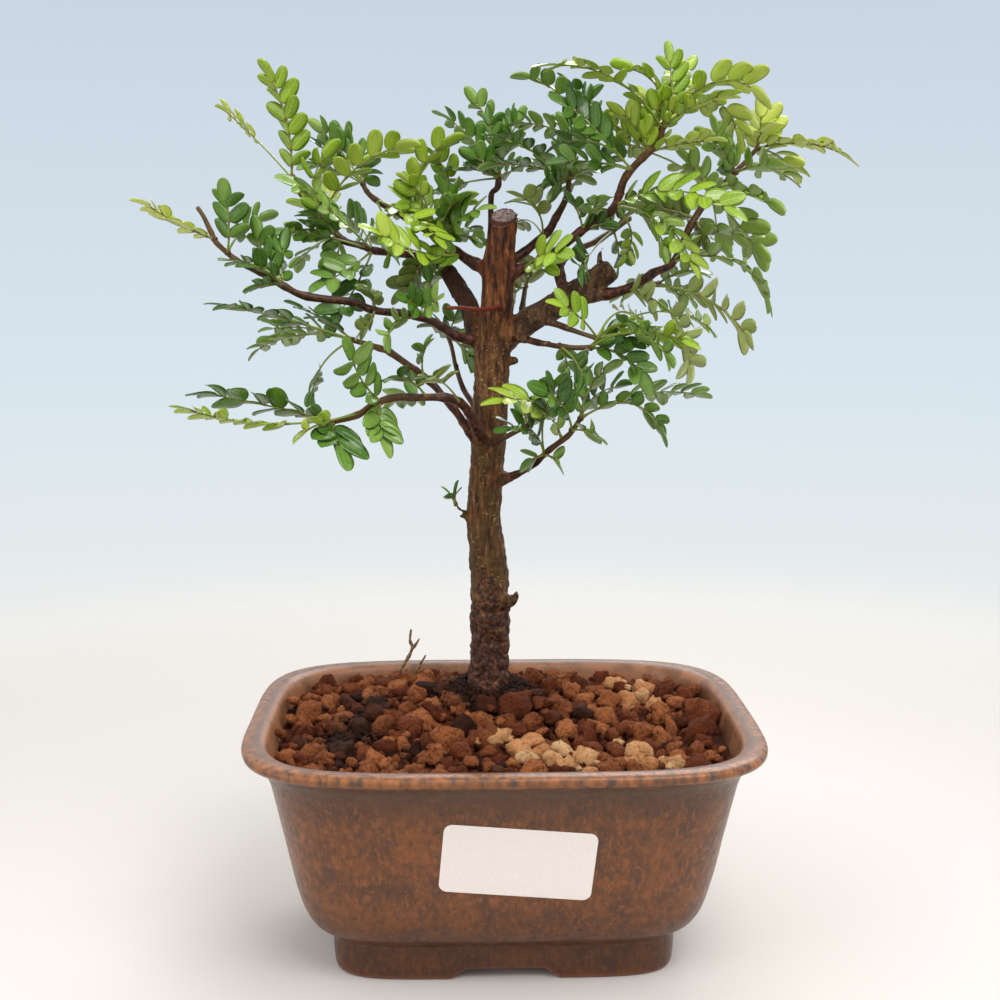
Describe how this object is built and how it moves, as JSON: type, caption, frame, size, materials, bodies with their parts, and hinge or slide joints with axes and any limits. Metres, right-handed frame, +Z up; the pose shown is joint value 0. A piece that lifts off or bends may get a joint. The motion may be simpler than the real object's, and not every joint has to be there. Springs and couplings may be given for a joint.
{
  "type": "chinese pepper bonsai",
  "caption": "Small potted tree with a sawn-off gnarled trunk, thin branches, pinnate leaves and a glazed oblong pot.",
  "frame": {"origin": "middle of the pot's footprint, on the surface it stands on", "axes": "+Z up the trunk, -Y towards the front with the label, +X to the right seen from the front"},
  "size_m": [0.2084, 0.1178, 0.2642],
  "materials": {
    "glaze": "mottled orange-brown glaze, glossy at the lip",
    "soil": "matte granular clay soil",
    "bark": "fissured bark, pale sawn top",
    "label": "plain white label",
    "dry": "dry grey-brown twig",
    "net": "matte black plastic net",
    "young": "glossy lime-green leaf",
    "mature": "glossy mid-green leaf",
    "olive": "dull olive-green leaf"
  },
  "bodies": {
    "root": {"pot": "glaze", "soil": "soil", "wood": "bark", "drySprig": "dry", "drainNetLeft": "net", "drainNetRight": "net", "label": "label", "spray_leftCrown": "young", "spray_upperLeft": "mature", "spray_upperLeftLime": "young", "spray_leftTip": "young", "spray_leftTipUp": "mature", "spray_leftMiddle": "mature", "spray_leftCluster": "mature", "spray_leftLime": "young", "spray_leftInner": "mature", "spray_leftSecondEnd": "mature", "spray_leftLowMiddle": "mature", "spray_leftOlive": "olive", "spray_leftLowEnd": "mature", "spray_leftLowLime": "young", "spray_leftLowInner": "mature", "spray_leftLowBack": "olive", "spray_leftSecondMiddle": "mature", "spray_backLeftTip": "mature", "spray_leftRosette": "mature", "spray_centreLime": "young", "spray_leftDark": "olive", "spray_centreTall": "young", "spray_centreBud": "mature", "spray_backTop": "mature", "spray_rightSecondTop": "mature", "spray_rightSecondEnd": "mature", "spray_rightSecondLow": "olive", "spray_rightFirstLow": "young", "spray_rightGloss": "mature", "spray_rightInnerLime": "young", "spray_rightTopLime": "young", "spray_rightTopUpright": "young", "spray_rightTopEnd": "young", "spray_rightLimeEnd": "young", "spray_rightShootMiddle": "mature", "spray_rightFrontLong": "young", "spray_rightFirstMiddle": "mature", "spray_rightOlive": "olive", "spray_rightLongEnd": "mature", "spray_rightArching": "mature", "spray_farRightPale": "mature", "spray_rightDroop": "olive", "spray_underLimbEnd": "young", "spray_underLimbFront": "mature", "spray_underLimbHanging": "mature", "spray_rightLowEnd": "mature", "spray_rightLowDark": "mature", "spray_rightLowLime": "young", "spray_rightLowInner": "mature", "spray_forkEnd": "mature", "spray_backRightEnd": "olive", "spray_rightThird": "mature", "spray_trunkSprout": "mature"}
  },
  "joints": []
}
